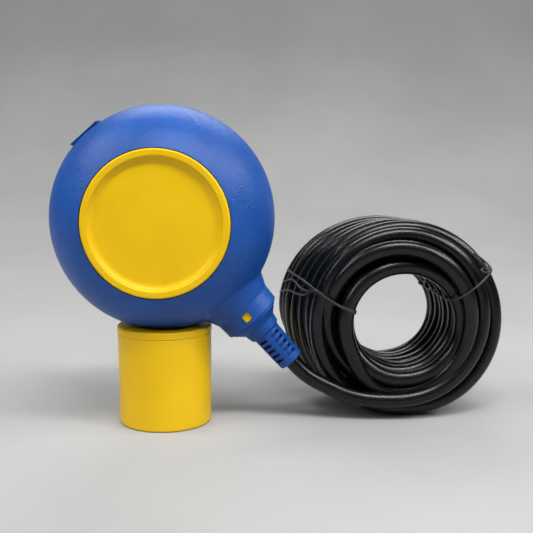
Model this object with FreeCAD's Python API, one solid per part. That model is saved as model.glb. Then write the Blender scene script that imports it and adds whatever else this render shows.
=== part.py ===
import FreeCAD, Part
import math
import os
from FreeCAD import Placement, Rotation, Vector

# Float level switch: a sealed float with a ball-operated microswitch, its coiled supply cable
# and the sliding counterweight that the float rests on.
# Frame: origin at the centre of the counterweight's cable bore, at its underside. +Z is up and
# the float's two round faces look along -Y and +Y. Lengths are millimetres, angles degrees.

# ---- Float body: a blue jacket moulded over a yellow two-part capsule
float_diameter = 110.0
edge_round = 37.2          # radius of the arc that rounds the float from face to face
face_half = 33.0           # centre plane to the rim of each face opening
jacket_wall = 2.5
capsule_wall = 2.4
disc_gap = 0.4             # shadow gap between the capsule's disc and the jacket
rim_proud = 0.5
rim_width = 3.4
rim_round = 0.9
recess_depth = 2.4
cove_width = 3.3
lap_length = 2.5           # tongue that locates one capsule half in the other
lap_gap = 0.1
lip_round = 0.5
pad_length = 17.2          # moulding pad opposite the cable neck
pad_width = 13.0
pad_proud = 0.45
pad_plate = 0.55
pad_undercut = 0.5
pad_corner = 0.7

# ---- Cable neck and its strain relief
gland_angle = 48.5         # below the horizontal, towards +X
neck_reach = 11.6          # end of the neck beyond the float's surface
neck_end_radius = 15.0
shoulder_length = 7.9
shoulder_radius = 15.4
root_radius = 17.9
root_length = 5.7
neck_blend = 2.5
neck_edge_round = 0.8
neck_core_radius = 12.2    # outside of the capsule's own neck, inside the jacket
neck_bore_radius = 9.0
window_width = 4.4
window_length = 4.5
window_corner = 1.2
window_setback = 3.9       # window's centre, back from the neck's end
stud_gap = 0.2
stud_recess = 0.7
collar_radius = 13.4
collar_band = 0.8
collar_cone = 3.9
head_radius = 9.2
head_end_radius = 8.4
head_length = 4.0
step_length = 1.2
sleeve_radius = 7.1
sleeve_end_radius = 6.5
sleeve_length = 19.2
sleeve_round = 0.8
shank_length = 6.6
shank_gap = 0.1
slot_rows = 5
slot_pitch = 3.1
slot_width = 1.5
slot_first = 2.3           # first slot's centre past the sleeve's root
slot_span = 46.0
slot_column_angle = 35.0
slot_floor = 0.8           # wall left between a slot's floor and the cable

# ---- Cable
cable_diameter = 8.0
cable_bore_gap = 0.1
core_diameter = 2.4
core_ring = 1.75           # cores' centres from the cable's axis
core_straight = 0.25       # share of the cores' run inside that is straight at each end
seal_length = 5.0
grip_length = 5.0
grip_wall = 3.0
grip_slit = 2.0
sheath_inside = 0.5        # sheath end beyond the grip

# ---- Microswitch, its lever, and the ball that works it
ball_diameter = 16.0
ball_travel = 30.0
ball_track_gap = 0.5
track_wall = 1.8
track_slot = 7.0
track_end_gap = 0.3
case_length = 27.8
case_thickness = 10.3
case_height = 15.9
case_cover = 2.6
case_top = 18.0            # case's lever side, from the float's centre along the neck
case_shift = -3.6
hole_spacing = 22.2
hole_radius = 1.55
peg_gap = 0.05
lever_arm = 15.0           # hinge to the ball's line
lever_length = 23.0
lever_width = 7.4
lever_thickness = 0.5
lever_angle = 7.0
lever_gap = 0.1
lever_room = 1.0           # between the lever's lowest swing and the track's mouth
ball_gap = 0.2
eye_radius = 1.1
pin_radius = 0.5
pin_gap = 0.06
ear_width = 3.4
ear_thickness = 1.2
ear_root = 0.5             # ear's footing below the case's lever side
plunger_arm = 6.5
plunger_radius = 1.4
plunger_gap = 0.1
plunger_show = 0.5
plunger_length = 5.5       # pocket for the plunger's flange
throat_length = 2.0        # case wall that the plunger slides in
flange_radius = 2.2
flange_thickness = 1.2
terminal_width = 4.6
terminal_thickness = 0.8
terminal_length = 8.0
terminal_depth = 3.0
terminal_pitch = 8.8
solder_hole = 0.7          # radius

# ---- Carrier that holds the track and the switch in the capsule's back half
plate_offset = 12.0        # plate's front face behind the float's centre plane
plate_thickness = 2.0
plate_half_width = 21.0
plate_margin = 3.0
boss_radius = 3.5
boss_spacing_x = 34.0
boss_spacing_z = 36.0
screw_radius = 1.25
screw_head_radius = 2.8
screw_head_height = 1.8
screw_length = 9.0
screw_slot = 0.8
boss_footing = 0.5         # bosses' root in the capsule's wall

# ---- Counterweight
weight_base_radius = 22.85
weight_draft = 0.45        # widening of the cup from its base to its lid
weight_height = 49.2
weight_wall = 1.8
weight_floor = 2.0
weight_edge_round = 1.2
lid_lip = 0.15             # lid's overhang past the cup
lid_thickness = 3.5
lid_round = 1.0
lid_seam_round = 0.4       # rounds that meet where the lid sits on the cup
lid_spigot = 3.0
dish_radius = 14.0
dish_depth = 9.2
dish_wall = 1.6
dish_round = 1.0
bore_radius = 5.5
bore_wall = 1.4
seat_gap = 0.1
slug_clearance = 0.4
ring_height = 4.0
ring_teeth = 9
tooth_depth = 1.3

# ---- Coiled length of the cable, standing on its rim behind the neck
coil_outer_radius = 50.3
coil_gap = 5.3             # coil's side, past the end of the strain relief
coil_y = -2.0              # middle of the front turn
coil_hole_radius = 25.0
coil_hole_shift = 0.7
coil_depth = 58.0
coil_yaw = 6.6
coil_lean = 5.6            # sideways fanning of the outer turns from front to back
coil_round = 3.5

# ---- Free lead to the coil, and the tail from its back to the floor
lead_straight = 9.8
lead_touch_angle = 221.5   # where the lead comes to the front turn's rim
lead_touch_depth = 1.8
lead_end_angle = 235.5
lead_end_depth = 1.2
lead_sink = 3.9
tail_reach = 0.5 * coil_outer_radius
tail_rise = 0.433 * coil_outer_radius

# ---- Tie wires round the coil, and the bare end of the cable
tie_radius = 0.9
tie_gap = 0.1
left_tie_angle = 163.0
right_tie_angle = 28.0
knot_depth = 7.0           # knot's place on the outer turns, back from the front turn
twist_length = 7.0
twist_radius = 1.7
tie_tail = 8.0
tie_spread = 0.5           # slope of the two ends away from the twist
tail_stack = 2.2           # rise of the brown core over the two that lie on the floor
tail_bend = 0.4            # share of the tail cores that droops to the floor
core_tail = 14.0
core_fan = 9.0
ferrule_length = 6.0
ferrule_radius = 0.95

# ---- Values worked out from the sizes above
float_radius = float_diameter / 2
ring_radius = float_radius - edge_round
capsule_round = edge_round - jacket_wall
cavity_round = capsule_round - capsule_wall
opening_radius = ring_radius + math.sqrt(edge_round**2 - face_half**2)
disc_radius = opening_radius - disc_gap
rim_face = face_half + rim_proud
disc_floor = rim_face - recess_depth
cavity_face = disc_floor - capsule_wall
neck_end = float_radius + neck_reach
sleeve_root = neck_end + collar_band + collar_cone + head_length + step_length
cable_exit = sleeve_root + sleeve_length
cable_radius = cable_diameter / 2
shank_start = neck_end - shank_length
seal_start = shank_start - seal_length
grip_start = seal_start - grip_length
sheath_start = grip_start - sheath_inside
lever_face = case_top - plunger_show - lever_gap - lever_thickness
hinge_along = case_top - plunger_show - lever_gap - eye_radius
ball_rest = lever_face - ball_gap - ball_diameter / 2
track_radius = ball_diameter / 2 + ball_track_gap
track_back = ball_rest - ball_travel - ball_diameter / 2 - track_end_gap
lever_sweep = math.sin(math.radians(lever_angle)) * lever_length
track_mouth = lever_face - lever_sweep - lever_room
plunger_travel = math.sin(math.radians(lever_angle)) * plunger_arm
weight_top_radius = weight_base_radius + weight_draft
lid_radius = weight_top_radius + lid_lip
lid_seat = weight_height - lid_thickness
dish_floor_top = weight_height - dish_depth
slug_radius = weight_base_radius - weight_wall - slug_clearance

# The float rests on the rounded rim of the counterweight's dish.
rest_height = (weight_height - dish_round
               + math.sqrt((float_radius + dish_round)**2 - (dish_radius + dish_round)**2))
float_centre = Vector(0, 0, rest_height)
neck_turn = Rotation(Vector(0, 1, 0), 90 + gland_angle)
neck_frame = Placement(float_centre, neck_turn)

lead_start = neck_frame.multVec(Vector(0, 0, cable_exit))
coil_front = Vector(lead_start.x + coil_gap + coil_outer_radius, coil_y, coil_outer_radius)
coil_turn = Rotation(Vector(0, 0, 1), coil_yaw)
coil_axis = coil_turn.multVec(Vector(0, 1, 0))
coil_across = coil_turn.multVec(Vector(1, 0, 0))

Y_AXIS = Vector(0, 1, 0)
Z_AXIS = Vector(0, 0, 1)
ORIGIN = Vector(0, 0, 0)


def outline(steps, point):
    """Closed face from steps of 2 numbers (a line to) or 4 (an arc through, to)."""
    here = point(*steps[0])
    first = here
    edges = []
    for step in steps[1:]:
        there = point(*step[-2:])
        if len(step) == 4:
            edges.append(Part.Arc(here, point(*step[:2]), there).toShape())
        else:
            edges.append(Part.LineSegment(here, there).toShape())
        here = there
    edges.append(Part.LineSegment(here, first).toShape())
    return Part.Face(Part.Wire(edges))


def turned_about_y(steps):
    """Solid of revolution about Y from (radius, y) steps."""
    face = outline(steps, lambda radius, y: Vector(radius, y, 0))
    return face.revolve(ORIGIN, Y_AXIS, 360)


def turned_about_z(steps):
    """Solid of revolution about Z from (radius, z) steps."""
    face = outline(steps, lambda radius, z: Vector(radius, 0, z))
    return face.revolve(ORIGIN, Z_AXIS, 360)


def arc_point(radius, angle):
    """Point of an arc about (ring_radius, 0), angle from the float's widest line."""
    turn = math.radians(angle)
    return ring_radius + radius * math.cos(turn), radius * math.sin(turn)


def arc_angle(radius, out):
    """Angle at which an arc of this radius about (ring_radius, 0) reaches a distance out."""
    return math.degrees(math.acos((out - ring_radius) / radius))


def rod(radius, start, end):
    """Plain cylinder along local Z."""
    return Part.makeCylinder(radius, end - start, Vector(0, 0, start))


def rod_y(radius, x, z, start, end):
    """Plain cylinder along Y."""
    return Part.makeCylinder(radius, end - start, Vector(x, start, z), Y_AXIS)


def block(x0, x1, y0, y1, z0, z1):
    """Box between two corners."""
    return Part.makeBox(x1 - x0, y1 - y0, z1 - z0, Vector(x0, y0, z0))


def ring_edges(shape, radius, along, axis):
    """Circular edges of this radius at this place along an axis."""
    found = []
    for edge in shape.Edges:
        curve = edge.Curve
        if isinstance(curve, Part.Circle) and abs(curve.Radius - radius) < 0.01:
            if abs(curve.Center.dot(axis) - along) < 0.01:
                found.append(edge)
    return found


def at_neck(shape):
    """Put a shape made along local Z on the neck's axis."""
    shape.Placement = neck_frame.multiply(shape.Placement)
    return shape


def at_float(shape):
    """Put a shape made round the origin at the float's centre."""
    shape.Placement = Placement(float_centre, Rotation()).multiply(shape.Placement)
    return shape


def route_edges(points, most=math.inf):
    """Straight runs joined by tangent arcs; returns the edges, the radii and the length."""
    edges = []
    radii = []
    here = points[0]
    for before, corner, after in zip(points, points[1:], points[2:]):
        run_in = corner - before
        run_out = after - corner
        setback = min(0.45 * min(run_in.Length, run_out.Length), most)
        half_turn = run_in.getAngle(run_out) / 2
        toward = Vector(run_in).normalize()
        away = Vector(run_out).normalize()
        start = corner - toward * setback
        end = corner + away * setback
        radius = setback / math.tan(half_turn)
        inward = (away - toward).normalize()
        crown = corner + inward * (radius / math.cos(half_turn) - radius)
        edges.append(Part.LineSegment(here, start).toShape())
        edges.append(Part.Arc(start, crown, end).toShape())
        radii.append(radius)
        here = end
    edges.append(Part.LineSegment(here, points[-1]).toShape())
    return edges, radii, sum(edge.Length for edge in edges)


def tube(points, radius, most=math.inf):
    """Round tube along a route, with its radii and length."""
    edges, radii, length = route_edges(points, most)
    path = Part.Wire(edges)
    circle = Part.Circle(points[0], points[1] - points[0], radius)
    section = Part.Wire([circle.toShape()])
    return path.makePipeShell([section], True, True), radii, length


# ---- Float body

def shell_arc(radius, limit):
    """Steps of the arc from the widest line up to an angle limit."""
    return [arc_point(radius, 0), arc_point(radius, limit / 2) + arc_point(radius, limit)]


def float_blank():
    """Outer form of the float: flat faces and one bulging edge arc."""
    limit = arc_angle(edge_round, opening_radius)
    low = arc_point(edge_round, -limit)
    crown = arc_point(edge_round, 0)
    high = arc_point(edge_round, limit)
    return turned_about_y([(0, low[1]), low, crown + high, (0, high[1])])


def jacket_cavity():
    """Space the jacket leaves for the capsule, open through both faces."""
    limit = arc_angle(capsule_round, opening_radius)
    low = arc_point(capsule_round, -limit)
    crown = arc_point(capsule_round, 0)
    high = arc_point(capsule_round, limit)
    beyond = rim_face + 1
    return turned_about_y([(0, -beyond), (opening_radius, -beyond), low, crown + high,
                           (opening_radius, beyond), (0, beyond)])


def neck_blank():
    """Flared root, shoulder band and end face of the jacket's neck."""
    shoulder = neck_end - shoulder_length
    inside = shoulder - 3 * root_length
    slope = (root_radius - shoulder_radius) / root_length
    return turned_about_z([(0, inside), (shoulder_radius + slope * (shoulder - inside), inside),
                           (shoulder_radius, shoulder), (neck_end_radius, neck_end), (0, neck_end)])


def rounded_prism(width, length, corner, y0, y1, along):
    """Rounded rectangle across the neck's axis, pushed along Y."""
    prism = block(-width / 2, width / 2, y0, y1, along - length / 2, along + length / 2)
    upright = [edge for edge in prism.Edges if abs(edge.BoundBox.YLength - (y1 - y0)) < 0.01]
    return prism.makeFillet(corner, upright)


def pad():
    """Low undercut plate moulded on the rim, opposite the neck."""
    top = -float_radius - pad_proud
    under = top + pad_plate
    plate = block(-pad_length / 2, pad_length / 2, -pad_width / 2, pad_width / 2, top, under)
    corners = [edge for edge in plate.Edges if edge.BoundBox.ZLength > pad_plate / 2]
    plate = plate.makeFillet(pad_corner, corners)
    half_x = pad_length / 2 - pad_undercut
    half_y = pad_width / 2 - pad_undercut
    stem = block(-half_x, half_x, -half_y, half_y, under, -float_radius + jacket_wall)
    return plate.fuse(stem)


def outer_jacket():
    """Blue overmoulding: rounded shell, neck with its window, and the pad."""
    ball = float_blank()
    lips = ring_edges(ball, opening_radius, face_half, Y_AXIS)
    lips += ring_edges(ball, opening_radius, -face_half, Y_AXIS)
    ball = ball.makeFillet(lip_round, lips)
    neck = neck_blank()
    neck = neck.makeFillet(neck_edge_round, ring_edges(neck, neck_end_radius, neck_end, Z_AXIS))
    neck.Placement = Placement(ORIGIN, neck_turn)
    body = ball.fuse(neck)
    seam = [edge for edge in body.Edges if on_seam(edge)]
    body = body.makeFillet(neck_blend, seam)
    raised_pad = pad()
    raised_pad.Placement = Placement(ORIGIN, neck_turn)
    body = body.fuse(raised_pad).cut(jacket_cavity())
    bore = rod(neck_core_radius, 0, neck_end + 1)
    window = rounded_prism(window_width, window_length, window_corner,
                           -float_radius, 0, neck_end - window_setback)
    for tool in (bore, window):
        tool.Placement = Placement(ORIGIN, neck_turn)
        body = body.cut(tool)
    return at_float(body)


def on_seam(edge):
    """True for the curve where the neck's flare meets the rounded shell."""
    middle = edge.valueAt((edge.FirstParameter + edge.LastParameter) / 2)
    local = neck_turn.inverted().multVec(middle)
    out = math.hypot(local.x, local.y)
    shoulder = neck_end - shoulder_length
    return shoulder_radius < out < 2 * root_radius and 0.6 * float_radius < local.z < shoulder


def capsule_half():
    """Half of the capsule on the +Y side, with its raised rim and coved disc."""
    limit = arc_angle(capsule_round, disc_radius)
    inner_limit = math.degrees(math.asin(cavity_face / cavity_round))
    rim_inner = disc_radius - rim_width
    cove_end = rim_inner - cove_width
    cove = (cove_width**2 + recess_depth**2) / (2 * recess_depth)
    swing = math.atan2(cove_width, cove - recess_depth) / 2
    cove_mid = (cove_end + cove * math.sin(swing), disc_floor + cove * (1 - math.cos(swing)))
    inner = arc_point(cavity_round, inner_limit)
    shell = turned_about_y(shell_arc(capsule_round, limit)
                           + [(disc_radius, rim_face), (rim_inner, rim_face),
                              cove_mid + (cove_end, disc_floor), (0, disc_floor),
                              (0, cavity_face), inner,
                              arc_point(cavity_round, inner_limit / 2) + arc_point(cavity_round, 0)])
    rims = ring_edges(shell, disc_radius, rim_face, Y_AXIS)
    rims += ring_edges(shell, rim_inner, rim_face, Y_AXIS)
    return shell.makeFillet(rim_round, rims)


def capsule_neck(front):
    """Half of the capsule's neck, split on the float's centre plane."""
    neck = rod(neck_core_radius, cavity_round + ring_radius - capsule_wall, neck_end)
    reach = float_radius
    half = block(-reach, reach, -reach, 0, 0, 2 * reach)
    if front:
        stud_along = neck_end - window_setback
        stud = rounded_prism(window_width - 2 * stud_gap, window_length - 2 * stud_gap,
                             window_corner - stud_gap, stud_recess - neck_end_radius,
                             -neck_bore_radius, stud_along)
        return neck.common(half).fuse(stud)
    return neck.cut(half)


def lap_ring(extra):
    """Tongue of the lap joint; extra grows it into its rebate."""
    inner = ring_radius + cavity_round
    middle = inner + capsule_wall / 2
    outer = rod_y(middle - lap_gap + extra, 0, 0, -1, lap_length + extra)
    return outer.cut(rod_y(inner - 2 * extra, 0, 0, -2, lap_length + 1))


def capsule_front():
    """Yellow front half: disc, tongue, half neck and the stud seen in the window."""
    shell = capsule_half().mirror(ORIGIN, Y_AXIS)
    body = shell.fuse(lap_ring(0))
    neck = capsule_neck(True)
    bore = rod(neck_bore_radius, 0, neck_end + 1)
    for piece in (neck, bore):
        piece.Placement = Placement(ORIGIN, neck_turn)
    return at_float(body.fuse(neck).cut(bore))


def boss_places():
    """Carrier screw positions across and along the neck's frame."""
    middle = (track_back + case_top) / 2
    return [(x * boss_spacing_x / 2, middle + z * boss_spacing_z / 2)
            for x in (-1, 1) for z in (-1, 1)]


def capsule_back():
    """Yellow back half: disc, rebate, half neck and the carrier's screw bosses."""
    neck = capsule_neck(False)
    neck.Placement = Placement(ORIGIN, neck_turn)
    body = capsule_half().fuse(neck).cut(lap_ring(lap_gap))
    for x, z in boss_places():
        boss = rod_y(boss_radius, x, z, plate_offset + plate_thickness, cavity_face + boss_footing)
        boss.Placement = Placement(ORIGIN, neck_turn)
        body = body.fuse(boss)
    bore = rod(neck_bore_radius, 0, neck_end + 1)
    bore.Placement = Placement(ORIGIN, neck_turn)
    body = body.cut(bore)
    for x, z in boss_places():
        tip = plate_offset + screw_length
        hole = rod_y(screw_radius, x, z, plate_offset, tip)
        hole.Placement = Placement(ORIGIN, neck_turn)
        body = body.cut(hole)
    return at_float(body)


# ---- Cable entry

def slot_cutter(along):
    """One round-ended slot, centred on local -Y."""
    floor = cable_radius + slot_floor
    reach = sleeve_radius + 1
    end_turn = math.degrees(slot_width / 2 / sleeve_radius)
    sweep = slot_span - 2 * end_turn
    base = Vector(0, 0, along - slot_width / 2)
    sector = Part.makeCylinder(reach, slot_width, base, Z_AXIS, sweep)
    sector.rotate(ORIGIN, Z_AXIS, -90 - sweep / 2)
    for side in (-1, 1):
        turn = math.radians(-90 + side * sweep / 2)
        way = Vector(math.cos(turn), math.sin(turn), 0)
        end = Part.makeCylinder(slot_width / 2, reach, Vector(0, 0, along), way)
        sector = sector.fuse(end)
    return sector.cut(rod(floor, along - slot_width, along + slot_width))


def strain_relief():
    """Blue cable boot: shank, collar, head and the slotted bending sleeve."""
    cone_start = neck_end + collar_band
    head_start = cone_start + collar_cone
    head_end = head_start + head_length
    body = turned_about_z([(cable_radius + cable_bore_gap, shank_start),
                           (neck_bore_radius - shank_gap, shank_start),
                           (neck_bore_radius - shank_gap, neck_end), (collar_radius, neck_end),
                           (collar_radius, cone_start), (head_radius, head_start),
                           (head_end_radius, head_end), (sleeve_radius, sleeve_root),
                           (sleeve_end_radius, cable_exit),
                           (cable_radius + cable_bore_gap, cable_exit)])
    body = body.makeFillet(sleeve_round, ring_edges(body, sleeve_end_radius, cable_exit, Z_AXIS))
    cutters = []
    for row in range(slot_rows):
        along = sleeve_root + slot_first + row * slot_pitch
        for centre in (-slot_column_angle, slot_column_angle):
            for side in (0, 180):
                cutter = slot_cutter(along)
                cutter.rotate(ORIGIN, Z_AXIS, centre + side)
                cutters.append(cutter)
    return at_neck(body.cut(cutters))


def cable_seal():
    """Rubber grommet squeezed between the neck's bore and the cable."""
    outer = rod(neck_bore_radius, seal_start, shank_start)
    return at_neck(outer.cut(rod(cable_radius, seal_start - 1, shank_start + 1)))


def cord_grip():
    """Split collar clamped on the sheath behind the seal."""
    outer = rod(cable_radius + grip_wall, grip_start, seal_start)
    slit = block(0, cable_radius + grip_wall + 1, -grip_slit / 2, grip_slit / 2,
                 grip_start - 1, seal_start + 1)
    return at_neck(outer.cut([rod(cable_radius, grip_start - 1, seal_start + 1), slit]))


def cable_inlet():
    """Sheathed cable inside the neck, up to the mouth of the strain relief."""
    return at_neck(rod(cable_radius, sheath_start, cable_exit))


def terminal_x(index):
    """Place of a terminal across the case."""
    return case_shift + (index - 1) * terminal_pitch


def inner_core(index):
    """Insulated core from the sheath's end to its terminal."""
    turn = math.radians(180 - 120 * index) if index != 1 else math.radians(90)
    x = core_ring * math.cos(turn) if index != 1 else 0
    y = core_ring * (1 if index == 1 else -0.5)
    tab = case_top + case_height + terminal_length - terminal_depth
    gap = sheath_start - tab
    place = terminal_x(index)
    points = [Vector(x, y, sheath_start), Vector(x, y, sheath_start - core_straight * gap),
              Vector(place, y, tab + core_straight * gap), Vector(place, y, tab)]
    return at_neck(tube(points, core_diameter / 2)[0])


# ---- Microswitch

def case_block(y0, y1):
    """Block of the microswitch's outline between two depths."""
    left = case_shift - case_length / 2
    return block(left, left + case_length, y0, y1, case_top, case_top + case_height)


def mount_holes():
    """Two holes across the case for the carrier's pegs."""
    along = case_top + case_height / 2
    return [rod_y(hole_radius, case_shift + side * hole_spacing / 2, along,
                  -case_thickness, case_thickness) for side in (-1, 1)]


def terminal_blank(index):
    """Flat tab of one terminal, seated in the bottom of the case."""
    x = terminal_x(index)
    bottom = case_top + case_height
    return block(x - terminal_thickness / 2, x + terminal_thickness / 2,
                 -terminal_width / 2, terminal_width / 2, bottom - terminal_depth,
                 bottom - terminal_depth + terminal_length)


def plunger_x():
    """Place of the plunger across the case."""
    return plunger_arm - lever_arm


def lever_pin_hole(radius, half_length):
    """Cylinder on the lever's hinge line."""
    return rod_y(radius, -lever_arm, hinge_along, -half_length, half_length)


def lever_ear(side):
    """Ear that carries the lever's pin on one side of the case."""
    inner = lever_width / 2 + lever_gap
    outer = inner + ear_thickness
    low, high = sorted((side * inner, side * outer))
    ear = block(-lever_arm - ear_width / 2, -lever_arm + ear_width / 2, low, high,
                hinge_along - eye_radius - lever_gap, case_top + ear_root)
    return ear.cut(lever_pin_hole(pin_radius, outer + 1))


def switch_case():
    """Moulded case with one of the lever's ears, the plunger's bore and the terminal slots."""
    body = case_block(-case_thickness / 2, case_thickness / 2 - case_cover)
    body = body.fuse(lever_ear(-1))
    pocket = rod(flange_radius + plunger_gap, case_top + throat_length,
                 case_top + throat_length + plunger_length)
    throat = rod(plunger_radius + plunger_gap, case_top - 1, case_top + throat_length + 1)
    for cut in (pocket, throat):
        cut.translate(Vector(plunger_x(), 0, 0))
    cuts = [pocket, throat, groove_below_eye()] + mount_holes()
    cuts += [terminal_blank(index) for index in range(3)]
    return at_neck(body.cut(cuts))


def groove_below_eye():
    """Relief in the case that lets the lever's eye turn."""
    return lever_pin_hole(eye_radius + lever_gap, lever_width / 2 + lever_gap)


def switch_cover():
    """Flat cover closing the case on the carrier's side, with the lever's other ear."""
    body = case_block(case_thickness / 2 - case_cover, case_thickness / 2)
    body = body.fuse(lever_ear(1))
    cuts = mount_holes() + [groove_below_eye()]
    return at_neck(body.cut(cuts))


def terminal(index):
    """Brass tab with its solder hole."""
    body = terminal_blank(index)
    along = case_top + case_height + (terminal_length - terminal_depth) / 2
    hole = Part.makeCylinder(solder_hole, 4, Vector(terminal_x(index) - 2, 0, along), Vector(1, 0, 0))
    return at_neck(body.cut(hole))


def lever_pin():
    """Pin through the ears and the lever's eye."""
    return at_neck(lever_pin_hole(pin_radius, lever_width / 2 + lever_gap + ear_thickness))


def switch_lever():
    """Spring-steel lever rolled round its pin, with a turned-up tip."""
    half = lever_width / 2
    strip = block(-lever_arm, lever_length - lever_arm, -half, half,
                  lever_face, lever_face + lever_thickness)
    eye = lever_pin_hole(eye_radius, half)
    body = strip.fuse(eye).cut(lever_pin_hole(pin_radius + pin_gap, half + 1))
    return at_neck(body)


def plunger():
    """Domed plunger with the flange that keeps it in the case."""
    top = case_top - plunger_show
    flange_top = case_top + throat_length + plunger_travel + plunger_gap
    stem = rod(plunger_radius, top, flange_top + flange_thickness)
    stem = stem.makeFillet(plunger_radius / 2, ring_edges(stem, plunger_radius, top, Z_AXIS))
    body = stem.fuse(rod(flange_radius, flange_top, flange_top + flange_thickness))
    body.translate(Vector(plunger_x(), 0, 0))
    return at_neck(body)


def steel_ball():
    """Rolling ball, at rest against the lever at the neck end of its track."""
    return at_neck(Part.makeSphere(ball_diameter / 2, Vector(0, 0, ball_rest)))


def carrier():
    """Moulded carrier: plate, ball track with its end wall, and the switch's pegs."""
    plate_back = plate_offset + plate_thickness
    plate = block(-plate_half_width, plate_half_width, plate_offset, plate_back,
                  track_back - track_wall - plate_margin, case_top + case_height)
    shell = rod(track_radius + track_wall, track_back - track_wall, track_mouth)
    saddle = block(-track_radius / 2, track_radius / 2, 0, plate_offset,
                   track_back - track_wall, track_mouth)
    body = plate.fuse([shell, saddle])
    window = block(-track_slot / 2, track_slot / 2, -float_radius, 0,
                   track_back + track_radius, track_mouth - track_radius)
    body = body.cut([rod(track_radius, track_back, track_mouth + 1), window])
    along = case_top + case_height / 2
    for side in (-1, 1):
        x = case_shift + side * hole_spacing / 2
        peg = rod_y(hole_radius - peg_gap, x, along, -case_thickness / 2, plate_offset)
        post = rod_y(2 * hole_radius, x, along, case_thickness / 2, plate_offset)
        body = body.fuse([peg, post])
    holes = [rod_y(screw_radius, x, z, 0, plate_back + 1) for x, z in boss_places()]
    return at_neck(body.cut(holes))


def carrier_screws():
    """Four self-tapping pan-head screws through the carrier into the bosses."""
    screws = []
    for x, z in boss_places():
        head = rod_y(screw_head_radius, x, z, plate_offset - screw_head_height, plate_offset)
        shank = rod_y(screw_radius, x, z, plate_offset, plate_offset + screw_length)
        slot = block(x - screw_head_radius, x + screw_head_radius, 0,
                     plate_offset - screw_head_height / 2, z - screw_slot / 2, z + screw_slot / 2)
        screws.append(head.fuse(shank).cut(slot))
    return at_neck(Part.Compound(screws))


# ---- Counterweight

def weight_shell():
    """Yellow cup with a slight draft and the cable's tube rising from its floor."""
    body = turned_about_z([(0, 0), (weight_base_radius, 0), (weight_top_radius, lid_seat),
                           (0, lid_seat)])
    body = body.makeFillet(weight_edge_round, ring_edges(body, weight_base_radius, 0, Z_AXIS))
    body = body.makeFillet(lid_seam_round, ring_edges(body, weight_top_radius, lid_seat, Z_AXIS))
    inner_low = weight_base_radius - weight_wall
    inner_top = weight_top_radius - weight_wall
    hollow = turned_about_z([(0, weight_floor), (inner_low, weight_floor),
                             (inner_top, lid_seat + 1), (0, lid_seat + 1)])
    column = rod(bore_radius + bore_wall, 0, dish_floor_top - dish_wall)
    body = body.cut(hollow).fuse(column)
    return body.cut(rod(bore_radius, -1, weight_height))


def weight_slug():
    """Cast ring that gives the counterweight its mass, relieved for the lid's dish."""
    top = lid_seat - lid_spigot - slug_clearance
    relief = dish_floor_top - dish_wall - slug_clearance
    return turned_about_z([(bore_radius + bore_wall + slug_clearance, weight_floor),
                           (slug_radius, weight_floor), (slug_radius, top),
                           (dish_radius + dish_wall + slug_clearance, top),
                           (dish_radius + dish_wall + slug_clearance, relief),
                           (bore_radius + bore_wall + slug_clearance, relief)])


def weight_lid():
    """Yellow lid: rolled edge, spigot in the cup, and the dish the float sits in."""
    inner_top = weight_top_radius - weight_wall - seat_gap
    body = turned_about_z([(0, dish_floor_top - dish_wall),
                           (dish_radius + dish_wall, dish_floor_top - dish_wall),
                           (dish_radius + dish_wall, lid_seat - lid_spigot),
                           (inner_top, lid_seat - lid_spigot), (inner_top, lid_seat),
                           (lid_radius, lid_seat), (lid_radius, weight_height),
                           (dish_radius, weight_height), (dish_radius, dish_floor_top),
                           (0, dish_floor_top)])
    body = body.makeFillet(lid_round, ring_edges(body, lid_radius, weight_height, Z_AXIS))
    body = body.makeFillet(lid_seam_round, ring_edges(body, lid_radius, lid_seat, Z_AXIS))
    body = body.makeFillet(dish_round, ring_edges(body, dish_radius, weight_height, Z_AXIS))
    return body.cut(rod(bore_radius, 0, weight_height))


def grip_ring():
    """Toothed ring that sets the counterweight's place on the cable, lying in the dish."""
    outer = dish_radius - dish_wall
    body = rod(outer, dish_floor_top, dish_floor_top + ring_height)
    body = body.cut(rod(cable_radius + tooth_depth, 0, weight_height))
    tooth_width = tooth_depth
    for index in range(ring_teeth):
        tooth = block(cable_radius + cable_bore_gap, cable_radius + 2 * tooth_depth,
                      -tooth_width / 2, tooth_width / 2,
                      dish_floor_top, dish_floor_top + ring_height)
        tooth.rotate(ORIGIN, Z_AXIS, 360 * index / ring_teeth)
        body = body.fuse(tooth)
    return body


# ---- Coil, lead, tail and ties

def on_coil(across, up, deep):
    """Point in the coil's frame: across it, above its centre and back along its axis."""
    return coil_front + coil_across * across + Vector(0, 0, up) + coil_axis * deep


def cable_coil():
    """Outer form of the wound coil, standing on its rim, with its outer turns fanned out."""
    base = coil_front - coil_axis * cable_radius
    rim = Part.Wire([Part.Circle(base, coil_axis, coil_outer_radius).toShape()])
    body = Part.Face(rim).extrude(coil_axis * coil_depth - coil_across * coil_lean)
    hole = Part.makeCylinder(coil_hole_radius, coil_depth + 2,
                             base + coil_across * coil_hole_shift - coil_axis, coil_axis)
    body = body.cut(hole)
    rims = [edge for edge in body.Edges if isinstance(edge.Curve, Part.Circle)]
    return body.makeFillet(coil_round, rims)


def on_rim(angle, sink, deep):
    """Point at an angle on the front turn's rim, below the rim and behind its middle."""
    reach = Vector(coil_outer_radius - sink, 0, 0)
    return coil_front + Rotation(Vector(0, -1, 0), angle).multVec(reach) + Vector(0, deep, 0)


# Route of the free lead, from the strain relief's mouth to the coil's front turn.
lead_route = [lead_start,
              lead_start + neck_turn.multVec(Vector(0, 0, lead_straight)),
              on_rim(lead_touch_angle, 0, lead_touch_depth),
              on_rim(lead_end_angle, lead_sink, lead_end_depth)]


def behind_coil(across, rise, beyond):
    """Point across the coil, above a cable on the floor and past the coil's back face."""
    up = cable_radius + rise - coil_outer_radius
    return on_coil(across, up, coil_depth - cable_radius + beyond)


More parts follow.
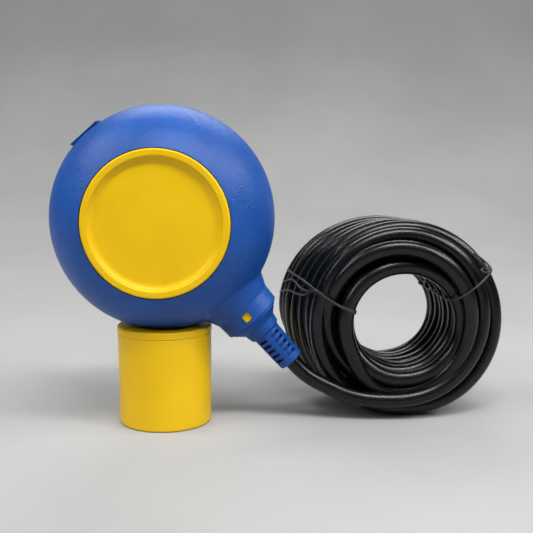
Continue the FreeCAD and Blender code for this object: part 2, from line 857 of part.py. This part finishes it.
# Route of the tail, from the back of the coil's inner turns to the bare cores on the floor.
tail_route = [behind_coil(-0.88 * tail_reach, tail_rise, -2.0),
              behind_coil(-0.44 * tail_reach, 0.61 * tail_rise, 3.5),
              behind_coil(0.06 * tail_reach, 0.27 * tail_rise, 5.5),
              behind_coil(0.56 * tail_reach, 0.055 * tail_rise, 6.8),
              behind_coil(tail_reach, 0, 9.5)]


def checked_tube(name, points):
    """Cable tube; prints its radii and compares its volume with section times length."""
    solid, radii, length = tube(points, cable_radius)
    ratio = solid.Volume / (math.pi * cable_radius**2 * length)
    sizes = ", ".join("%.1f" % radius for radius in radii)
    print("%s: length %.1f, radii %s, volume ratio %.4f" % (name, length, sizes, ratio))
    return solid


def tail_core(index):
    """One bare-ended core fanned out of the cable's end."""
    end = tail_route[-1]
    along = (end - tail_route[-2]).normalize()
    side = along.cross(Z_AXIS).normalize()
    turn = math.radians(90 + 120 * index)
    start = end + (side * math.cos(turn) + Z_AXIS * math.sin(turn)) * core_ring
    fan = Rotation(Z_AXIS, core_fan * ((index + 1) % 3 - 1)).multVec(along)
    middle = start + along * (core_tail * tail_bend)
    middle.z = core_diameter / 2 + tie_gap + (tail_stack if index == 0 else 0)
    tip = middle + fan * (core_tail * (1 - tail_bend))
    tip.z = middle.z
    return [start, middle, tip]


def core_ferrules():
    """Crimped sleeves on the three bare cores."""
    sleeves = []
    for index in range(3):
        start, middle, tip = tail_core(index)
        sleeves.append(Part.makeCylinder(ferrule_radius, ferrule_length, tip, tip - middle))
    return Part.Compound(sleeves)


def hole_distance(turn):
    """Distance from the coil's middle to its hole's surface, at an angle in radians."""
    across = coil_hole_shift * math.cos(turn)
    return across + math.sqrt(across**2 - coil_hole_shift**2 + coil_hole_radius**2)


def tie(angle):
    """Wire tie round the coil's section, twisted on the outer turns, with two short ends."""
    turn = math.radians(angle)
    stand = tie_radius + tie_gap
    inner = hole_distance(turn) - stand
    outer = coil_outer_radius + stand
    front = -cable_radius - stand
    back = front + coil_depth + 2 * stand

    def spot(out, deep, lean=0.0):
        return on_coil(out * math.cos(turn) - lean, out * math.sin(turn), deep)

    knot = spot(outer, knot_depth, coil_lean * (knot_depth - front) / (back - front))
    middle = spot((inner + outer) / 2, back)
    corner = coil_round + stand
    first = tube([knot, spot(outer, front), spot(inner, front), spot(inner, back), middle],
                 tie_radius, corner)[0]
    second = tube([knot, spot(outer, back, coil_lean), middle], tie_radius, corner)[0]
    outward = coil_across * math.cos(turn) + Z_AXIS * math.sin(turn)
    along = Z_AXIS * math.cos(turn) - coil_across * math.sin(turn)
    start = knot + outward * (twist_radius - tie_radius)
    twist = Part.makeCylinder(twist_radius, twist_length, start, along)
    ends = []
    for side in (-1, 1):
        spread = along + coil_axis * (side * tie_spread)
        ends.append(Part.makeCylinder(tie_radius, tie_tail, start + along * twist_length, spread))
    return first.fuse([second, twist] + ends)


def all_parts():
    """Every node's solid by name."""
    parts = {
        "outer_jacket": outer_jacket(),
        "capsule_front": capsule_front(),
        "capsule_back": capsule_back(),
        "strain_relief": strain_relief(),
        "cable_seal": cable_seal(),
        "cord_grip": cord_grip(),
        "cable_inlet": cable_inlet(),
        "switch_case": switch_case(),
        "switch_cover": switch_cover(),
        "lever_pin": lever_pin(),
        "switch_lever": switch_lever(),
        "plunger": plunger(),
        "steel_ball": steel_ball(),
        "switch_carrier": carrier(),
        "carrier_screws": carrier_screws(),
        "weight_shell": weight_shell(),
        "weight_slug": weight_slug(),
        "weight_lid": weight_lid(),
        "grip_ring": grip_ring(),
        "cable_coil": cable_coil(),
        "cable_lead": checked_tube("cable_lead", lead_route),
        "cable_tail": checked_tube("cable_tail", tail_route),
        "core_ferrules": core_ferrules(),
        "tie_left": tie(left_tie_angle),
        "tie_right": tie(right_tie_angle),
    }
    for index, name in enumerate(("common", "closed", "open")):
        parts["terminal_" + name] = terminal(index)
    for index, colour in enumerate(("brown", "blue", "black")):
        parts["inner_core_" + colour] = inner_core(index)
        parts["tail_core_" + colour] = tube(tail_core(index), core_diameter / 2)[0]
    return parts


os.makedirs("parts", exist_ok=True)
for name, shape in all_parts().items():
    if not shape.isValid():
        print("not valid: " + name)
    print("%-18s %d solid(s) %10.1f mm3" % (name, len(shape.Solids), shape.Volume))
    shape.exportStep("parts/" + name + ".step")
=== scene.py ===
from collections import namedtuple
from math import cos, pi, radians, sin
import bpy
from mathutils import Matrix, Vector


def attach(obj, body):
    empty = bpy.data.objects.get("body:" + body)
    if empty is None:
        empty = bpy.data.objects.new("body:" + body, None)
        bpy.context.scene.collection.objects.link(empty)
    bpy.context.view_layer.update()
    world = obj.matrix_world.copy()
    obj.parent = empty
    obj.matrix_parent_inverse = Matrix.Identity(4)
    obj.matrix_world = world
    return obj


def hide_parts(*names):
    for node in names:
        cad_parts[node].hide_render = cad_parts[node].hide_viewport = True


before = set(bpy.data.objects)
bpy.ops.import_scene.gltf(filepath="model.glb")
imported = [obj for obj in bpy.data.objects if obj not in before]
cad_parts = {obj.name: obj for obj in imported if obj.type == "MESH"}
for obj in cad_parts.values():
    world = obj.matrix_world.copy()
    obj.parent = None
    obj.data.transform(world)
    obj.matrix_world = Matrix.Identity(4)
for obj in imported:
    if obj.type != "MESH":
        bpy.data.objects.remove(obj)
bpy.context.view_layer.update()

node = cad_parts


# ---- Camera and cable ------------------------------------------------------------------
# Five metres of black PVC-sheathed cable, 8 mm thick, leave the strain relief, run along the
# floor and go three layers deep into a coil that stands on its rim.
camera_tilt_down = 8.32
camera = bpy.data.objects.new("camera", bpy.data.cameras.new("camera"))
camera.location = (0.0509, -0.4459, 0.1432)
camera.rotation_euler = (radians(90 - camera_tilt_down), 0, 0)
camera.data.sensor_width = 36
camera.data.lens = 61.5
bpy.context.scene.collection.objects.link(camera)
bpy.context.scene.camera = camera


class Wire:
    """A socket of a material's nodes. Sums and products of wires add Math nodes."""

    def __init__(self, tree, socket=None):
        self.tree = tree
        self.socket = socket

    def node(self, kind, settings=None, values=None, out=0):
        """Adds a node: its settings first, then values or wires by socket name or number."""
        made = self.tree.nodes.new("ShaderNode" + kind)
        for name, value in (settings or {}).items():
            setattr(made, name, value)
        for name, value in (values or {}).items():
            self.feed(made.inputs[name], value)
        return Wire(self.tree, made.outputs[out])

    def feed(self, socket, value):
        if isinstance(value, Wire):
            self.tree.links.new(value.socket, socket)
        else:
            socket.default_value = value

    def math(self, operation, *values):
        return self.node("Math", {"operation": operation}, dict(enumerate(values)))

    def __add__(self, other):
        return self.math("ADD", self, other)

    def __sub__(self, other):
        return self.math("SUBTRACT", self, other)

    def __rsub__(self, other):
        return self.math("SUBTRACT", other, self)

    def __mul__(self, other):
        return self.math("MULTIPLY", self, other)

    __radd__ = __add__

    def absolute(self):
        return self.math("ABSOLUTE", self)

    def between(self, low, high):
        """0 below low, 1 above high and a smooth rise between them."""
        values = {"Value": self, "From Min": low, "From Max": high}
        return self.node("MapRange", {"interpolation_type": "SMOOTHSTEP"}, values)

    def axis(self, index):
        """X, Y or Z of a vector."""
        return self.node("SeparateXYZ", values={0: self}, out=index)

    def noise(self, scale, detail=3, rough=0.5, stretch=None):
        """Grey noise, scale in cycles a metre, stretched by a scale along each axis."""
        place = self
        if stretch:
            place = self.node("VectorMath", {"operation": "MULTIPLY"}, {0: self, 1: stretch})
        values = {"Vector": place, "Scale": scale, "Detail": detail, "Roughness": rough}
        return self.node("TexNoise", None, values)

    def mix(self, low, high):
        """Colour that goes from low to high as this wire goes from 0 to 1."""
        settings = {"data_type": "RGBA"}
        return self.node("Mix", settings, {0: self, 6: low, 7: high}, out=2)


def finish(name, shader_values, look):
    """Material with fixed shader values; look(place) gives the varying ones and the height."""
    material = bpy.data.materials.new(name)
    material.use_nodes = True
    tree = material.node_tree
    shader = tree.nodes["Principled BSDF"]
    for socket, value in shader_values.items():
        shader.inputs[socket].default_value = value
    place = Wire(tree).node("TexCoord", out=3)
    varying, height, depth = look(place)
    for socket, value in varying.items():
        place.feed(shader.inputs[socket], value)
    bump = place.node("Bump", None, {"Strength": 1.0, "Distance": depth, "Height": height})
    tree.links.new(bump.socket, shader.inputs["Normal"])
    return material


def dress(material, *names):
    """Gives CAD nodes their material."""
    for name in names:
        slots = node[name].data.materials
        slots.clear()
        slots.append(material)


def sheath_look(place):
    """Look of black PVC: a haze in the tone, dust, scuffs and a fine skin."""
    haze = place.noise(55, 4, 0.6)
    dust = place.noise(900, 2, 0.7).between(0.66, 0.80)
    scuff = place.noise(140, 5, 0.65).between(0.50, 0.72)
    tone = haze.between(0.35, 0.7).mix((0.0012, 0.0013, 0.0015, 1), (0.0030, 0.0030, 0.0033, 1))
    tone = (dust * 0.25).mix(tone, (0.022, 0.023, 0.025, 1))
    rough = 0.23 + scuff * 0.07 + haze * 0.06
    height = place.noise(1500, 2, 0.5) * 0.5 + place.noise(260, 3, 0.5)
    return {"Base Color": tone, "Roughness": rough}, height, 0.000012


cable_black = finish("cable_black", {"IOR": 1.45, "Specular IOR Level": 0.44}, sheath_look)

cable_diameter = 0.008
coil_centre = Vector((0.1190, -0.0020, 0.0503))
coil_yaw = radians(6.6)
coil_inward = Vector((-sin(coil_yaw), cos(coil_yaw), 0))
turns_deep = 7
points_per_turn = 16
shrink = cos(pi / points_per_turn)  # a turn is this much smaller than its control points
coil_start_angle = -90
tail_start_angle = 200
step_offset = 0.3
unevenness = 0.0003  # hand winding leaves each turn a little out of round


def on_coil(across, up, deep):
    """Point in the coil's own directions, from the middle of its front turn."""
    return coil_centre + Vector((across, 0, up)) + coil_inward * deep


def smooth(low, high, value):
    """0 below low, 1 above high and a smooth rise between them."""
    share = min(1, max(0, (value - low) / (high - low)))
    return share * share * (3 - 2 * share)


# One turn of cable in metres and degrees: its radii, how far its middle is shifted and
# raised, its depth, how far and at which angle it leans back, and the angles between which
# it passes over to the next turn.
Turn = namedtuple("Turn", "radius_across radius_up shift rise depth lean lean_angle "
                          "over_from over_to")


def turn_sizes():
    """Every turn in winding order: the outer layer to the back, the inner layer to the
    front and the middle layer to the back again."""
    outer = [Turn(0.0413, 0.0414, -0.0002, 0.0017, 0.0031, 0.0035, 48, 150, 228)]
    inner = [Turn(0.0295, 0.0290, 0.0008, -0.0008, 0.0020, 0.0026, -15, 200, 268)]
    middle = [Turn(0.0360, 0.0371, -0.0022, 0.0001, 0.0015, 0.0039, -107, 150, 228)]
    for row in range(1, turns_deep):
        share = (row - 1) / (turns_deep - 2)
        fan = 1 - (1 - share) ** 2
        outer.append(Turn(
            radius_across=0.0459 - 0.0015 * share + 0.0042 * fan, radius_up=0.0463 - 0.0008 * share,
            shift=0.0029 - 0.0015 * share - 0.0042 * fan, rise=-0.0004 - 0.0004 * share,
            depth=0.0112 + 0.0080 * (row - 1), lean=0.0030 * (1 - share), lean_angle=80,
            over_from=190, over_to=268))
        inner.append(Turn(
            radius_across=0.0284, radius_up=0.0284,
            shift=0.0018, rise=-0.0004 - 0.0016 * share ** 3,
            depth=0.0113 + 0.0081 * (row - 1), lean=0.0026 * (1 - share), lean_angle=-15,
            over_from=190, over_to=262))
        middle.append(Turn(
            radius_across=0.0372 - 0.0008 * share + 0.0021 * fan, radius_up=0.0373,
            shift=0.0024 - 0.0008 * share - 0.0021 * fan, rise=-0.0004,
            depth=0.0136 + 0.0076 * (row - 1), lean=0.0020 * (1 - share), lean_angle=-60,
            over_from=190, over_to=268))
    return outer + inner[::-1] + middle


def turn_point(sizes, turn, angle):
    """Control point of one turn, which passes over to the next one near its end."""
    over = smooth(sizes[turn].over_from, sizes[turn].over_to, angle)
    following = sizes[min(turn + 1, len(sizes) - 1)]
    mixed = Turn(*(a + (b - a) * over for a, b in zip(sizes[turn], following)))
    depth = mixed.depth + mixed.lean * cos(radians(angle - mixed.lean_angle))
    uneven = unevenness * sin(radians(2 * angle) + 2.1 * turn)
    across = mixed.shift + (mixed.radius_across + uneven) / shrink * cos(radians(angle))
    up = mixed.rise + (mixed.radius_up + uneven) / shrink * sin(radians(angle))
    return on_coil(across, max(up, cable_diameter / 2 - coil_centre.z), depth)


lead_route = [Vector((0.063413, 0.0, 0.030479)),
              Vector((0.069906, 0.0, 0.023139)),
              Vector((0.081340, -0.0002, 0.016970)),
              Vector((0.092731, -0.0008, 0.012061))]
lead_meets_coil = Vector((0.1050, -0.0014, 0.0100))
tail_route = [Vector((0.091051, 0.047112, 0.025780)),
              Vector((0.101411, 0.053847, 0.017286)),
              Vector((0.113673, 0.057279, 0.009881)),
              Vector((0.126015, 0.060016, 0.005198)),
              Vector((0.136698, 0.063970, 0.004000))]

cable_points = lead_route + [lead_meets_coil]
sizes = turn_sizes()
for turn in range(len(sizes)):
    for step in range(points_per_turn):
        angle = coil_start_angle + 360 * (step + step_offset) / points_per_turn
        if turn == len(sizes) - 1 and angle > tail_start_angle:
            break
        cable_points.append(turn_point(sizes, turn, angle))
cable_points += tail_route

line = bpy.data.curves.new("cable", "CURVE")
line.dimensions = "3D"
line.bevel_depth = cable_diameter / 2
line.bevel_resolution = 5
line.resolution_u = 5
line.use_fill_caps = True
spline = line.splines.new("NURBS")
spline.points.add(len(cable_points) - 1)
for point, place in zip(spline.points, cable_points):
    point.co = (*place, 1)
spline.order_u = 3
spline.use_endpoint_u = True
line.materials.append(cable_black)
cable = bpy.data.objects.new("cable", line)
bpy.context.scene.collection.objects.link(cable)
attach(cable, "switch_body")
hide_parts("cable_lead", "cable_coil", "cable_tail")


# ---- Tie wires -------------------------------------------------------------------------
# Two plastic-covered wires hold the coil, each passed round its section, drawn tight and
# twisted on the outer turns, with a curled and a folded end.
def tie_look(place):
    """Look of the ties' plastic cover: a dull haze and a fine skin."""
    haze = place.noise(300, 3, 0.6)
    tone = haze.between(0.3, 0.7).mix((0.010, 0.010, 0.011, 1), (0.022, 0.022, 0.023, 1))
    return {"Base Color": tone, "Roughness": 0.34 + haze * 0.22}, place.noise(1800, 2, 0.6), 0.00006


tie_black = finish("tie_black", {"IOR": 1.48}, tie_look)
tie_radius = 0.00054
millimetre = 0.001
twist_radius = 0.55  # in millimetres, as the strands' points are
twist_turns = 2.2
twist_steps = 24


def tie_wire(name, strands, twist_start, twist_end):
    """Wire strands from (across, up, deep) points in millimetres, and the pair twisted up."""
    line = bpy.data.curves.new(name, "CURVE")
    line.dimensions = "3D"
    line.bevel_depth = tie_radius
    line.bevel_resolution = 3
    line.resolution_u = 8
    line.use_fill_caps = True
    along = Vector(twist_end) - Vector(twist_start)
    aside = along.cross(Vector((0, 0, 1))).normalized()
    above = aside.cross(along).normalized()
    for half_turn in (0, pi):
        twisted = []
        for step in range(twist_steps + 1):
            turn = half_turn + 2 * pi * twist_turns * step / twist_steps
            place = Vector(twist_start) + along * step / twist_steps
            twisted.append(place + (aside * cos(turn) + above * sin(turn)) * twist_radius)
        strands = strands + [twisted]
    for strand in strands:
        spline = line.splines.new("NURBS")
        spline.points.add(len(strand) - 1)
        for point, place in zip(spline.points, strand):
            point.co = (*on_coil(*(millimetre * value for value in place)), 1)
        spline.order_u = 4
        spline.use_endpoint_u = True
    line.materials.append(tie_black)
    piece = bpy.data.objects.new(name + "_wire", line)
    bpy.context.scene.collection.objects.link(piece)
    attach(piece, "switch_body")
    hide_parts(name)
    return piece


def through_hole(across, up):
    """Points of a strand that runs along the hole's wall from the back to the front."""
    return [(across * 1.25, up * 1.25, 55.5), (across * 1.02, up * 1.02, 55.3),
            (across, up, 52), (across, up, 38), (across, up, 24), (across, up, 10), (across, up, 0)]


left_upper = ([(-45.4, 17.4, -3.6), (-46.8, 18.6, -1.5), (-47.4, 19.0, 4), (-48.4, 19.2, 16),
               (-49.6, 19.2, 30), (-50.5, 19.0, 44), (-50.6, 18.6, 52), (-50.0, 18.4, 56.0),
               (-45, 16.4, 56.4), (-36, 12.5, 55.8)] + through_hole(-23.6, 5.6)
              + [(-24.6, 5.9, -3.4), (-27.5, 6.8, -4.5), (-32, 8.7, -4.3), (-37, 11.2, -3.9),
                 (-40.2, 13.4, -3.7), (-42.0, 14.8, -3.5)])
left_lower = ([(-45.8, 16.4, -3.8), (-47.8, 14.9, -1.6), (-48.6, 13.4, 2), (-49.8, 12.0, 10),
               (-51.4, 11.4, 22), (-52.7, 10.8, 33), (-53.8, 8.8, 43), (-54.8, 5.8, 52),
               (-54.0, 6.2, 56.2), (-46, 8.4, 56.2), (-36, 8.0, 55.9)] + through_hole(-23.8, 4.4)
              + [(-24.7, 4.9, -3.4), (-27.4, 6.0, -4.5), (-31.8, 8.2, -4.3), (-36.8, 11.0, -3.9),
                 (-40.0, 13.5, -3.7), (-41.8, 15.0, -3.5)])
left_curl = [(-45.6, 17.0, -3.9), (-47.4, 15.9, -1.4), (-48.4, 15.2, 4), (-49.6, 15.2, 13),
             (-50.2, 16.2, 21), (-50.8, 17.0, 28), (-51.6, 16.4, 35), (-52.6, 14.0, 42),
             (-53.6, 12.4, 47)]
tie_left = tie_wire("tie_left", [left_upper, left_lower, left_curl],
                    (-41.2, 14.4, -3.6), (-45.8, 17.0, -3.9))
right_loop = ([(42.2, 24.8, 0.2), (44.6, 25.4, 3), (45.0, 26.2, 12), (43.6, 26.8, 24),
               (42.0, 27.4, 38), (40.4, 27.8, 52), (39.2, 27.4, 56.2), (32, 22.5, 56.2),
               (26, 17, 55.9)] + through_hole(21.9, 11.2)[:-1]
              + [(22.0, 10.9, 1), (23.2, 11.0, -2.4), (25.6, 12.8, -4.9), (29.2, 15.4, -6.1),
                 (33.6, 18.6, -6.0), (37.4, 21.3, -4.2), (40.4, 23.5, -1.6), (42.0, 24.6, -0.2)])
right_slack = [(21.6, 12.0, 40), (19.8, 14.6, 33), (17.4, 17.2, 26), (18.0, 17.0, 21),
               (20.6, 13.6, 22), (21.8, 12.0, 28), (22.2, 11.2, 34)]
right_fold = [(41.8, 24.8, -0.3), (43.4, 25.8, 0.4), (42.6, 27.0, 0.6), (39.4, 27.2, 0.0),
              (37.0, 26.4, -0.8), (38.2, 25.2, -1.3), (41.4, 25.0, -1.0), (43.4, 26.4, 1.0),
              (42.2, 28.6, 2.8), (39.8, 30.8, 4.2), (37.4, 32.8, 5.2), (35.9, 34.0, 5.6)]
tie_right = tie_wire("tie_right", [right_loop, right_slack, right_fold],
                     (41.2, 24.0, -0.4), (39.8, 27.6, -0.4))


# ---- Cores at the cable's far end ------------------------------------------------------
# Three insulated cores come out of the bare end of the sheath, with tinned ferrules crimped
# on them, ready for a terminal block.
def core_look(light, dark):
    """Look of a core's insulation: a faint haze in the tone and a fine skin."""
    def look(place):
        haze = place.noise(240, 3, 0.6)
        tone = haze.between(0.3, 0.7).mix(dark, light)
        fine = place.noise(1600, 2, 0.5)
        return {"Base Color": tone, "Roughness": 0.36 + haze * 0.2}, fine, 0.00005
    return look


core_tones = {
    "brown": ((0.150, 0.052, 0.020, 1), (0.098, 0.032, 0.012, 1)),
    "blue": ((0.030, 0.150, 0.520, 1), (0.018, 0.098, 0.390, 1)),
    "black": ((0.020, 0.020, 0.021, 1), (0.011, 0.011, 0.012, 1)),
}
for colour, (light, dark) in core_tones.items():
    insulation = finish("core_" + colour, {"IOR": 1.5}, core_look(light, dark))
    dress(insulation, "tail_core_" + colour, "inner_core_" + colour)


def metal_look(light, dark, rough, grain):
    """Look of a plain metal: a clouded tone, uneven roughness and fine grain."""
    def look(place):
        cloud = place.noise(grain / 6, 4, 0.6)
        fine = place.noise(grain, 3, 0.55)
        tone = cloud.between(0.3, 0.7).mix(dark, light)
        return {"Base Color": tone, "Roughness": rough + cloud * 0.16}, fine, 0.00005
    return look


ferrule_tin = finish("ferrule_tin", {"Metallic": 1.0},
                     metal_look((0.74, 0.74, 0.72, 1), (0.60, 0.60, 0.58, 1), 0.22, 1500))
dress(ferrule_tin, "core_ferrules")


# ---- Jacket and strain relief ----------------------------------------------------------
# Blue polypropylene moulded over the capsule in one shot, neck and pad included, with a
# parting line round its widest place; the slotted cable boot is moulded in the same blue.
def jacket_look(place):
    """Look of the blue moulding: orange peel, rubbed patches and the parting line."""
    cloud = place.noise(34, 3, 0.5)
    mottle = place.noise(330, 4, 0.62)
    grain = place.noise(1050, 3, 0.60)
    rubbed = place.noise(70, 6, 0.72).between(0.56, 0.74)
    speck = place.noise(2100, 1, 0.4).between(0.70, 0.78)
    tone = cloud.between(0.3, 0.7).mix((0.0048, 0.057, 0.270, 1), (0.0072, 0.074, 0.330, 1))
    tone = (mottle.between(0.45, 0.75) * 0.30).mix(tone, (0.016, 0.106, 0.370, 1))
    tone = (speck * 0.30).mix(tone, (0.12, 0.22, 0.60, 1))
    rough = 0.30 + mottle * 0.16 - rubbed * 0.08
    parting = 1 - place.axis(1).absolute().between(0.00006, 0.00026)
    height = grain * 1.1 + mottle * 0.55 + parting * 0.5
    return {"Base Color": tone, "Roughness": rough}, height, 0.00025


jacket_blue = finish("jacket_blue", {"IOR": 1.45, "Specular IOR Level": 0.36}, jacket_look)
dress(jacket_blue, "outer_jacket", "strain_relief")


# ---- Capsule ---------------------------------------------------------------------------
# Two yellow ABS shells that shut the switch in. Their coved discs fill the jacket's round
# openings, and a stud of the front shell shows in the neck's window.
def capsule_look(place):
    """Look of the yellow shells: faint swirls of the melt, scuffs and a fine skin."""
    cloud = place.noise(30, 3, 0.55)
    grain = place.noise(1300, 2, 0.5)
    swirl = place.noise(150, 4, 0.6)
    scuff = place.noise(60, 7, 0.75).between(0.58, 0.72)
    tone = cloud.between(0.3, 0.7).mix((0.735, 0.448, 0.0026, 1), (0.790, 0.498, 0.0042, 1))
    tone = (swirl.between(0.5, 0.8) * 0.25).mix(tone, (0.700, 0.405, 0.0030, 1))
    rough = 0.30 + swirl * 0.14 + scuff * 0.10
    return {"Base Color": tone, "Roughness": rough}, grain * 0.3 + swirl * 0.7, 0.00009


capsule_yellow = finish("capsule_yellow", {"IOR": 1.45, "Specular IOR Level": 0.28}, capsule_look)
dress(capsule_yellow, "capsule_front", "capsule_back")


# ---- Counterweight ---------------------------------------------------------------------
# A yellow cup and lid round a cast iron ring. The cable passes up its middle, gripped by a
# toothed ring that lies in the lid's dish.
def weight_look(place):
    """Look of the yellow cup: upright draw marks from its mould, scuffs and a fine skin."""
    cloud = place.noise(26, 3, 0.55)
    drawn = place.noise(210, 4, 0.6, stretch=(1, 1, 0.18))
    grain = place.noise(1400, 2, 0.5)
    scuff = place.noise(80, 7, 0.75).between(0.58, 0.74)
    tone = cloud.between(0.3, 0.7).mix((0.760, 0.462, 0.0035, 1), (0.820, 0.512, 0.0055, 1))
    tone = (drawn.between(0.5, 0.8) * 0.25).mix(tone, (0.690, 0.395, 0.0030, 1))
    rough = 0.27 + drawn * 0.16 + scuff * 0.10
    return {"Base Color": tone, "Roughness": rough}, grain * 0.35 + drawn * 0.5, 0.00008


weight_yellow = finish("weight_yellow", {"IOR": 1.45, "Specular IOR Level": 0.28}, weight_look)
dress(weight_yellow, "weight_shell", "weight_lid")
slug_iron = finish("slug_iron", {"Metallic": 1.0},
                   metal_look((0.20, 0.19, 0.18, 1), (0.12, 0.11, 0.10, 1), 0.52, 700))
dress(slug_iron, "weight_slug")


def moulding_look(light, dark, rough):
    """Look of a small plain moulding: a faint cloud in the tone and a fine skin."""
    def look(place):
        cloud = place.noise(90, 3, 0.6)
        tone = cloud.between(0.3, 0.7).mix(dark, light)
        fine = place.noise(1500, 2, 0.5)
        return {"Base Color": tone, "Roughness": rough + cloud * 0.18}, fine, 0.00005
    return look


ring_white = finish("ring_white", {"IOR": 1.5},
                    moulding_look((0.74, 0.74, 0.70, 1), (0.66, 0.66, 0.62, 1), 0.34))
dress(ring_white, "grip_ring")


# ---- Inside the float ------------------------------------------------------------------
# A rubber seal and a split collar hold the cable in the neck. Behind them a white carrier
# holds the ball's track and the microswitch that the steel ball works.
inner_mouldings = {
    "seal_rubber": ((0.030, 0.030, 0.031, 1), (0.018, 0.018, 0.019, 1), 0.60, ["cable_seal"]),
    "grip_plastic": ((0.42, 0.43, 0.45, 1), (0.36, 0.37, 0.39, 1), 0.40, ["cord_grip"]),
    "switch_black": ((0.022, 0.022, 0.023, 1), (0.014, 0.014, 0.015, 1), 0.42,
                     ["switch_case", "switch_cover"]),
    "switch_red": ((0.52, 0.030, 0.020, 1), (0.40, 0.020, 0.015, 1), 0.34, ["plunger"]),
    "carrier_white": ((0.72, 0.72, 0.69, 1), (0.64, 0.64, 0.61, 1), 0.38, ["switch_carrier"]),
}
for name, (light, dark, rough, pieces) in inner_mouldings.items():
    dress(finish(name, {"IOR": 1.5}, moulding_look(light, dark, rough)), *pieces)
inner_metals = {
    "spring_steel": ((0.56, 0.55, 0.53, 1), (0.44, 0.43, 0.41, 1), 0.24, 1200,
                     ["switch_lever", "lever_pin", "carrier_screws"]),
    "ball_steel": ((0.66, 0.66, 0.67, 1), (0.58, 0.58, 0.59, 1), 0.10, 600, ["steel_ball"]),
    "terminal_brass": ((0.62, 0.46, 0.18, 1), (0.50, 0.36, 0.13, 1), 0.26, 1100,
                       ["terminal_common", "terminal_closed", "terminal_open"]),
}
for name, (light, dark, rough, grain, pieces) in inner_metals.items():
    dress(finish(name, {"Metallic": 1.0}, metal_look(light, dark, rough, grain)), *pieces)
dress(cable_black, "cable_inlet")


# ---- Floor and light -------------------------------------------------------------------
# A plain pale floor that sweeps up into a backdrop behind the part, under a soft distant
# light from above and seven rectangular lamps round the part.
floor_front, floor_back, floor_half_width = -1.3, 0.55, 1.7
sweep_radius, sweep_steps = 0.9, 12
backdrop_height = 5.0
floor_profile = [(floor_front, 0.0), (floor_back, 0.0)]
for step in range(1, sweep_steps + 1):
    bend = radians(90 * step / sweep_steps)
    floor_profile.append((floor_back + sweep_radius * sin(bend),
                          sweep_radius - sweep_radius * cos(bend)))
floor_profile.append((floor_back + sweep_radius, backdrop_height))
corners = [(side * floor_half_width, y, z) for y, z in floor_profile for side in (-1, 1)]
strips = [(2 * i, 2 * i + 1, 2 * i + 3, 2 * i + 2) for i in range(len(floor_profile) - 1)]
floor_mesh = bpy.data.meshes.new("floor")
floor_mesh.from_pydata(corners, [], strips)
floor_mesh.polygons.foreach_set("use_smooth", [True] * len(strips))
floor = bpy.data.objects.new("floor", floor_mesh)
bpy.context.scene.collection.objects.link(floor)


def floor_look(place):
    """Look of the floor: a broad faint cloud and a matt skin."""
    cloud = place.noise(5, 4, 0.55)
    tone = cloud.between(0.25, 0.75).mix((0.34, 0.34, 0.34, 1), (0.38, 0.38, 0.375, 1))
    return {"Base Color": tone, "Roughness": 0.62 + cloud * 0.1}, place.noise(160, 4, 0.6), 0.0002


floor_mesh.materials.append(finish("floor_grey", {"Specular IOR Level": 0.2}, floor_look))

world = bpy.data.worlds.new("studio")
bpy.context.scene.world = world
world.use_nodes = True
background = world.node_tree.nodes["Background"]
rays = world.node_tree.nodes.new("ShaderNodeLightPath")
seen = Wire(world.node_tree, rays.outputs["Is Camera Ray"])
room_light, room_seen = (0.075, 0.079, 0.086, 1), (0.42, 0.42, 0.42, 1)
seen.feed(background.inputs["Color"], seen.mix(room_light, room_seen))
middle = (0.05, 0, 0.07)


def lamp(name, place, size, power):
    """Rectangular soft lamp at a place, facing the middle of the part."""
    light = bpy.data.lights.new(name, "AREA")
    light.shape = "RECTANGLE"
    light.size, light.size_y = size
    light.energy = power
    lamp_object = bpy.data.objects.new(name, light)
    lamp_object.location = place
    facing = Vector(middle) - Vector(place)
    lamp_object.rotation_euler = facing.to_track_quat("-Z", "Y").to_euler()
    bpy.context.scene.collection.objects.link(lamp_object)


lamp("overhead", (0.18, -0.46, 0.98), (0.60, 0.15), 7.0)
lamp("right_side", (0.76, -0.42, 0.80), (0.24, 0.5), 5.6)
lamp("left_side", (-0.74, -0.50, 0.66), (0.20, 0.5), 3.2)
lamp("right_high", (0.95, 0.02, 0.70), (0.26, 0.30), 3.8)
lamp("left_high", (-0.70, 0.02, 0.85), (0.26, 0.30), 3.4)
lamp("behind", (0.05, 0.75, 0.80), (0.8, 0.3), 4.2)
lamp("front_fill", (0.0, -1.30, 0.45), (1.4, 0.8), 0.3)
distant = bpy.data.lights.new("distant", "SUN")
distant.energy = 0.75
distant.angle = radians(50)
distant_object = bpy.data.objects.new("distant", distant)
distant_object.rotation_euler = (radians(28), 0, 0)
bpy.context.scene.collection.objects.link(distant_object)

bpy.context.scene.view_settings.view_transform = "Standard"
